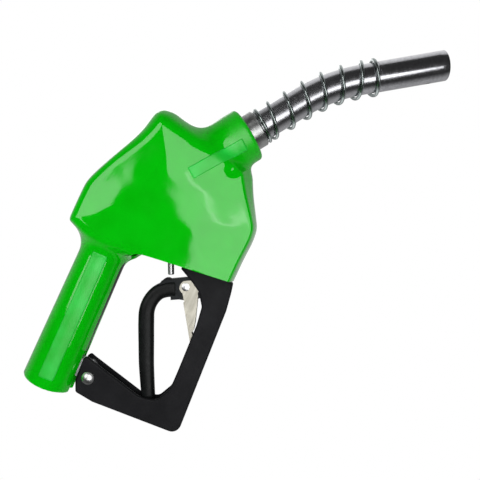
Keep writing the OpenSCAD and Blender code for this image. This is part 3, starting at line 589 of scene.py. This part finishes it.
def tube_along(name, points, radius, sides=12):
    """A round wire along points, as a closed mesh."""
    pts = np.array(points, float)
    t = np.gradient(pts, axis=0)
    t /= np.linalg.norm(t, axis=1, keepdims=True)
    u = np.cross(t[0], (0.3, 0.1, 0.9))
    verts = []
    for p, along in zip(pts, t):
        u = u - (u @ along) * along
        u /= np.linalg.norm(u)
        verts += ring(p, radius, u, np.cross(along, u), sides)
    return object_from(name, verts, ring_faces(len(pts), sides))


def rounded_outline(points, steps=8):
    """Replaces each corner (x, z, radius) by an arc."""
    out = []
    for i, (x, z, r) in enumerate(points):
        if r == 0:
            out.append((x, z))
            continue
        at = Vector((x, z))
        u = (Vector(points[i - 1][:2]) - at).normalized()
        v = (Vector(points[(i + 1) % len(points)][:2]) - at).normalized()
        half = math.acos(max(-1, min(1, u.dot(v)))) / 2
        centre = at + (u + v).normalized() * r / math.sin(half)
        start = at + u * r / math.tan(half) - centre
        end = at + v * r / math.tan(half) - centre
        a0 = math.atan2(start.y, start.x)
        sweep = (math.atan2(end.y, end.x) - a0 + 3 * math.pi) % (2 * math.pi) - math.pi
        for k in range(steps + 1):
            a = a0 + sweep * k / steps
            out.append((centre.x + r * math.cos(a), centre.y + r * math.sin(a)))
    return out


def soft_slab(name, outline, width, round_r, steps=5):
    """A slab across Y whose long edges are rounded, from a closed outline in XZ."""
    curve = bpy.data.curves.new(name, "CURVE")
    curve.dimensions = "2D"
    curve.fill_mode = "BOTH"
    curve.extrude = (width / 2 - round_r) * MM
    curve.bevel_depth = round_r * MM
    curve.offset = -round_r * MM
    curve.bevel_resolution = steps
    spline = curve.splines.new("POLY")
    spline.points.add(len(outline) - 1)
    for point, (x, z) in zip(spline.points, outline):
        point.co = (x * MM, z * MM, 0, 1)
    spline.use_cyclic_u = True
    drawn = new_object(name, curve)
    bpy.context.view_layer.update()
    mesh = evaluated_mesh(drawn)
    bpy.data.objects.remove(drawn)
    mesh.transform(Matrix.Rotation(math.pi / 2, 4, "X"))
    edit_mesh(mesh, weld(0.01), face_outwards)
    return new_object(name, mesh)


def smooth_line(points, steps=6):
    """A Catmull-Rom curve through the points."""
    pts = np.array(points, float)
    pts = np.vstack([2 * pts[0] - pts[1], pts, 2 * pts[-1] - pts[-2]])
    out = []
    for a, b, c, d in zip(pts, pts[1:], pts[2:], pts[3:]):
        for t in np.arange(steps) / steps:
            out.append(0.5 * (2 * b + (c - a) * t + (2 * a - 5 * b + 4 * c - d) * t * t
                              + (3 * b - a - 3 * c + d) * t ** 3))
    return np.array(out + [pts[-2]])


# ---------- cover and labels ----------

def even_out(p, edges, rounds=6, pull=0.55):
    """Draws each point towards its neighbours, then back onto the cover's surface."""
    a, b = edges.T
    count = np.bincount(edges.T.ravel(), minlength=len(p))[:, None]
    for _ in range(rounds):
        total = np.zeros_like(p)
        np.add.at(total, a, p[b])
        np.add.at(total, b, p[a])
        p = settle((1 - pull) * p + pull * total / count, 2)
    return p


def cover_blank():
    """A closed even mesh of the cover's outside."""
    def build(bm):
        prism(bm, BODY_OUTLINE, -HALF_DEPTH, HALF_DEPTH)
        rod(bm, (0, 0, -1), (0, 0, 130), 19.5)
        rod(bm, SPOUT_BASE - 60 * SPOUT_DIR, SPOUT_BASE, NECK_R)
    blank = solid("cover", build)
    mod = blank.modifiers.new("voxels", "REMESH")
    mod.mode = "VOXEL"
    mod.voxel_size = 1.5 * MM
    bake(blank)
    mesh = blank.data
    co = np.empty(len(mesh.vertices) * 3)
    mesh.vertices.foreach_get("co", co)
    edges = np.empty(len(mesh.edges) * 2, int)
    mesh.edges.foreach_get("vertices", edges)
    p = even_out(settle(co.reshape(-1, 3) / MM, 10), edges.reshape(-1, 2))
    mesh.vertices.foreach_set("co", np.ascontiguousarray(settle(p, 3) * MM).ravel())
    mesh.update()
    return blank


def carve(bm, snap=0.02):
    """Cuts the cover's openings: splits edges where their border crosses, and drops what lies inside."""
    mark = bm.verts.layers.float.new("keep")
    value = outside_openings(np.array([v.co for v in bm.verts]) / MM)
    value[np.abs(value) < snap] = snap
    for vert, v in zip(bm.verts, value):
        vert[mark] = v
    fresh = []
    for edge in list(bm.edges):
        a, b = edge.verts
        if a[mark] * b[mark] < 0:
            _, vert = bmesh.utils.edge_split(edge, a, a[mark] / (a[mark] - b[mark]))
            vert[mark] = 0
            fresh.append(vert)
    bmesh.ops.connect_verts(bm, verts=fresh)
    gone = [f for f in bm.faces if min(v[mark] for v in f.verts) < 0]
    bmesh.ops.delete(bm, geom=gone, context="FACES")
    bm.verts.layers.float.remove(bm.verts.layers.float["keep"])


def make_cover():
    cover = cover_blank()
    edit_mesh(cover.data, carve, weld(0.05))
    thicken(cover, WALL)
    rim = cover.modifiers.new("rim", "BEVEL")
    rim.width = RIM_ROUND * MM
    rim.segments = 2
    rim.limit_method = "ANGLE"
    rim.angle_limit = math.radians(50)
    bake(cover)
    cover.data.shade_smooth()
    finish_piece(cover, "body", "green_vinyl", "green_vinyl", "scuff_cover")


def lipped_rows(size, step):
    """Even stations across a label, and one more at each edge."""
    inner = np.linspace(LABEL_LIP - size / 2, size / 2 - LABEL_LIP, int(size / step))
    return np.concatenate([[-size / 2], inner, [size / 2]])


def inside_corner(a, b, length, width, corner):
    """Pulls a point of a rectangle back inside its rounded corners."""
    over_a, over_b = abs(a) - (length / 2 - corner), abs(b) - (width / 2 - corner)
    reach = math.hypot(over_a, over_b)
    if min(over_a, over_b) > 0 and reach > corner:
        pull = 1 - corner / reach
        return a - math.copysign(over_a * pull, a), b - math.copysign(over_b * pull, b)
    return a, b


def face_camera(bm):
    face_outwards(bm)
    if sum(f.normal.y for f in bm.faces) > 0:
        bmesh.ops.reverse_faces(bm, faces=bm.faces)


def make_label(name, centre, direction, length, width, corner, proud):
    """A thin blank strip that follows the cover's near side, its edge sunk into the cover."""
    long_way, wide_way = lipped_rows(length, 1.2), lipped_rows(width, 0.8)
    rows, columns = len(long_way), len(wide_way)
    u = np.array(direction, float) / np.linalg.norm(direction)
    v = np.array([u[1], -u[0]])
    spots = [inside_corner(a, b, length, width, corner) for a in long_way for b in wide_way]
    x, z = np.array([centre + a * u + b * v for a, b in spots]).T
    height = np.full((rows, columns), -LABEL_SUNK)
    height[1:-1, 1:-1] = proud
    verts = np.stack([x, front_surface(x, z) - height.ravel(), z], 1) * MM
    corners = [i * columns + j for i in range(rows - 1) for j in range(columns - 1)]
    label = object_from(name, verts, [(k, k + 1, k + columns + 1, k + columns) for k in corners])
    edit_mesh(label.data, face_camera)
    thicken(label, LABEL_FILM)
    bake(label)
    label.data.shade_smooth()
    finish_piece(label, "body", "green_vinyl", "label_film")


# ---------- hand guard and lever grip ----------

def guard_holes(bm):
    """The pin's and the screw's holes, and a row of hollows inside the front leg."""
    for x, z, radius in GUARD_HOLES:
        rod(bm, (x, -20, z), (x, 20, z), radius)
    for z in HOLLOW_ROWS:
        x = HOLLOW_X + (HOLLOW_ROWS[-1] - z) * HOLLOW_LEAN
        rod(bm, (x, -CHANNEL_HALF, z), (x, CHANNEL_HALF, z), HOLLOW_R, 32)


def make_guard():
    guard = soft_slab("guard", rounded_outline(GUARD), GUARD_WIDTH, GUARD_ROUND)
    channel = rounded_outline(GUARD_CHANNEL)
    subtract(guard, solid("channel", lambda bm: prism(bm, channel, -CHANNEL_HALF, CHANNEL_HALF)))
    subtract(guard, solid("holes", guard_holes))
    finish_piece(guard, "body", "guard_nylon", "guard_nylon", "hand_guard")


def grip_stations():
    """The grip's rows: centre, direction and half width in XZ, and how far its round nose draws it in."""
    line = smooth_line(GRIP_LINE)
    centre, half = line[:, :2], line[:, 2]
    along = np.gradient(centre, axis=0)
    along /= np.linalg.norm(along, axis=1, keepdims=True)
    for row in range(NOSE_ROWS, 0, -1):
        turn = row / NOSE_ROWS * math.pi / 2
        at = centre[0] - GRIP_NOSE * math.sin(turn) * along[0]
        yield at, along[0], half[0], math.cos(NOSE_DRAW * turn)
    for station in zip(centre, along, half):
        yield *station, 1.0


def grip_row(at, along, half, draw):
    """Points round one row: an oval with fuller corners."""
    across = np.array([along[1], -along[0]])
    for k in range(GRIP_SIDES):
        angle = 2 * math.pi * k / GRIP_SIDES
        c, s = math.cos(angle), math.sin(angle)
        x, z = at + across * half * math.copysign(abs(c) ** 0.85, c) * draw
        yield x * MM, GRIP_HALF * math.copysign(abs(s) ** 0.8, s) * draw * MM, z * MM


def make_grip():
    """The lever's rubber grip: a rounded tube round the flat bar, with a slot for the wear pad."""
    rows = [list(grip_row(*station)) for station in grip_stations()]
    grip = object_from("grip_sleeve", [p for row in rows for p in row], ring_faces(len(rows), GRIP_SIDES))
    edit_mesh(grip.data, face_outwards)
    rooms = {"bar_room": (rounded_outline(BAR), BAR_HALF), "pad_room": (PAD_SLOT, BAR_HALF),
             "bare_front": (BARE_FRONT, HALF_DEPTH)}
    for name, (outline, half) in rooms.items():
        subtract(grip, solid(name, lambda bm: prism(bm, outline, -half, half)))
    finish_piece(grip, "lever", "black_vinyl", "black_vinyl", "lever_grip")


# ---------- spout and springs ----------

def spout_point(s):
    """The spout's centre line, s from the cover's mouth, and the direction across it."""
    g = min(max((s - BASE_LEN) / BEND_R, 0), BEND)
    past = max(0.0, s - BASE_LEN - BEND_R * BEND)
    x = BEND_R * (1 - math.cos(g)) + past * math.sin(g)
    z = min(s, BASE_LEN) + BEND_R * math.sin(g) + past * math.cos(g)
    c, lean = math.cos(SPOUT_LEAN), math.sin(SPOUT_LEAN)
    centre = SPOUT_BASE + np.array([x * c + z * lean, 0, z * c - x * lean])
    return centre, np.array([math.cos(g + SPOUT_LEAN), 0, -math.sin(g + SPOUT_LEAN)])


def revolve(name, stations, sides=72):
    """A closed ring-shaped solid along the spout: stations are (s, radius), out along and back inside."""
    verts = []
    for s, radius in stations:
        centre, across = spout_point(s)
        verts += ring(centre, radius, across, Y_AXIS, sides)
    obj = object_from(name, verts, ring_faces(len(stations), sides, closed=True))
    edit_mesh(obj.data, face_outwards)
    return obj


def make_spout():
    """The bent tube with its rounded mouth and the cross hole for the sensing port."""
    step = SPRING_END + 0.7
    out = [(s, SPOUT_OUT - 0.2) for s in np.linspace(SPOUT_FOOT, step, 84)]
    out += [(s, SPOUT_OUT) for s in np.linspace(step, SPOUT_END - 0.5, 10)]
    out += [(SPOUT_END - 0.15, SPOUT_OUT - 0.14), (SPOUT_END, SPOUT_OUT - 0.5), (SPOUT_END, SPOUT_IN + 0.3),
            (SPOUT_END - 0.3, SPOUT_IN)]
    back = [(s, SPOUT_IN) for s in np.linspace(SPOUT_END - 1.2, SPOUT_FOOT, 60)]
    spout = revolve("spout", out + back)
    centre, across = spout_point(SPOUT_END - PORT_FROM_TIP)
    subtract(spout, solid("port", lambda bm: rod(bm, centre, centre + 20 * across, 2.25, 32)))
    edges = spout.modifiers.new("edges", "EDGE_SPLIT")
    edges.split_angle = math.radians(35)
    bake(spout)
    return finish_piece(spout, "body", "spout_metal", "spout_metal", "spout_tube")


def coil_turns(turns, per_turn):
    return np.arange(int(turns * per_turn) + 1) / per_turn


def coil_rise(t, turns, closed, pitch, rise):
    """How far along its axis a coil's wire is after t turns; the closed turns at each end keep to pitch."""
    ends = pitch * (min(t, closed) + max(t - turns + closed, 0))
    open_turns = turns - 2 * closed
    return ends + min(max(t - closed, 0), open_turns) / open_turns * (rise - 2 * closed * pitch)


def make_anchor_spring():
    """The open coil that wraps the spout, following its bend."""
    turns, closed, wire_r, coil_r = 7.75, 0.75, 1.35, 13.65
    start = 10.3 + wire_r
    rise = SPRING_END - wire_r - start
    pts = []
    for t in coil_turns(turns, 44):
        centre, across = spout_point(start + coil_rise(t, turns, closed, 2.08 * wire_r, rise))
        pts.append(round_point(centre, coil_r, across, Y_AXIS, -2 * math.pi * t))
    coil = tube_along("anchor_coil", pts, wire_r)
    return finish_piece(coil, "body", "spring_steel", "spring_steel", "anchor_spring")


def make_inner_spring(node, foot, axis, coil_r, wire_r, turns, length, joint, travel, fixed_end):
    """A spring hidden in the casting, built at its given length."""
    side = np.array([axis[2], 0.0, -axis[0]])
    pts = []
    for t in coil_turns(turns, 24):
        rise = wire_r + coil_rise(t, turns, 1, 2.1 * wire_r, length - 2 * wire_r)
        pts.append(round_point(foot + rise * axis, coil_r, side, Y_AXIS, 2 * math.pi * t))
    spring = tube_along(node + "_coil", pts, wire_r, 8)
    finish_piece(spring, "body", "spring_steel", "spring_steel", node)
    tuple(axis)
    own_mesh(spring)


# ---------- stage ----------

def make_camera():
    axes = [Vector(axis).normalized() for axis in (CAMERA_RIGHT, CAMERA_UP, CAMERA_BACK)]
    cam = bpy.data.cameras.new("camera")
    cam.sensor_width = 36
    cam.lens = CAMERA_LENS
    cam.clip_start = 0.01
    obj = new_object("camera", cam)
    obj.matrix_world = Matrix.Translation(CAMERA_AT) @ Matrix(axes).transposed().to_4x4()
    bpy.context.scene.camera = obj


def area_light(name, place, target, width, height, power, turn):
    light = bpy.data.lights.new(name, "AREA")
    light.shape = "RECTANGLE"
    light.size = width
    light.size_y = height
    light.energy = power
    obj = new_object(name, light)
    obj.location = place
    obj.rotation_euler = (Vector(target) - Vector(place)).to_track_quat("-Z", "Y").to_euler()
    obj.rotation_euler.rotate_axis("Z", math.radians(turn))
    return obj


def light_link(light, objects, state):
    """Lets a light reach only the objects, or all but them."""
    group = bpy.data.collections.new(light.name + "_on")
    for obj in objects:
        group.objects.link(obj)
    for row in group.collection_objects:
        row.light_linking.link_state = state
    light.light_linking.receiver_collection = group


def make_lights(spout_metals):
    """Studio boxes in front and behind. The spout has cards of its own instead of the high box."""
    lights = {name: area_light(name, *row) for name, row in LIGHTS.items()}
    lights["back_fill"].visible_glossy = False
    light_link(lights["high_box"], spout_metals, "EXCLUDE")
    for name in ("top_card", "low_card"):
        light_link(lights[name], spout_metals, "INCLUDE")


def make_world():
    """Plain white to the camera. Gloss sees it brighter behind the object than behind the camera."""
    world = bpy.data.worlds.new("studio")
    world.use_nodes = True
    tree = world.node_tree
    tree.nodes.clear()
    add, link = tree.nodes.new, tree.links.new
    white, soft = add("ShaderNodeBackground"), add("ShaderNodeBackground")
    white.inputs["Color"].default_value = (1, 1, 1, 1)
    split, ramp, span = add("ShaderNodeSeparateXYZ"), add("ShaderNodeValToRGB"), add("ShaderNodeMapRange")
    span.inputs["From Min"].default_value = -1
    for element, position, grey in zip(ramp.color_ramp.elements, ROOM_ENDS, ROOM_GREYS):
        element.position = position
        element.color = (grey, grey, grey, 1)
    link(add("ShaderNodeTexCoord").outputs["Generated"], split.inputs[0])
    link(split.outputs["Y"], span.inputs["Value"])
    link(span.outputs[0], ramp.inputs[0])
    link(ramp.outputs[0], soft.inputs["Color"])
    mix, out = add("ShaderNodeMixShader"), add("ShaderNodeOutputWorld")
    path, lift = add("ShaderNodeLightPath"), add("ShaderNodeMapRange")
    lift.inputs["To Min"].default_value = 1.0
    lift.inputs["To Max"].default_value = SOFT_LIFT
    link(path.outputs["Is Diffuse Ray"], lift.inputs["Value"])
    link(lift.outputs[0], soft.inputs["Strength"])
    link(path.outputs["Is Camera Ray"], mix.inputs[0])
    link(soft.outputs[0], mix.inputs[1])
    link(white.outputs[0], mix.inputs[2])
    link(mix.outputs[0], out.inputs[0])
    bpy.context.scene.world = world


def make_floor(size=3.0, level=-0.12):
    """A pale floor under the nozzle, wide enough for the other views; sizes in metres."""
    corners = [(-size, -size, level), (size, -size, level), (size, size, level), (-size, size, level)]
    floor = object_from("floor", corners, [(0, 1, 2, 3)])
    n = Nodes("floor_paper")
    n.set(Base_Color=n.ramp(n.noise(3.0, 3.0), 0.3, 0.7, (0.82, 0.82, 0.82, 1), (0.86, 0.86, 0.86, 1)))
    n.set(Roughness=0.7)
    floor.data.materials.append(n.mat)
    floor.visible_camera = False
    floor.visible_glossy = False


# ---------- build ----------

MATERIALS = make_materials()
SLOT_OF = {row["node"]: row["material_slot"] for row in frame["record"]["subparts"]}
for name, obj in NODES.items():
    obj.data.materials.clear()
    obj.data.materials.append(MATERIALS[SLOT_OF[name]])

make_cover()
for name, row in LABELS.items():
    make_label(name, *row)
make_guard()
make_grip()
spout_pieces = [make_spout(), make_anchor_spring()]
for row in INNER_SPRINGS:
    make_inner_spring(*row)

make_camera()
make_world()
make_floor()
make_lights(spout_pieces + [NODES[name] for name in SPOUT_NODES])
bpy.context.scene.view_settings.view_transform = "Standard"
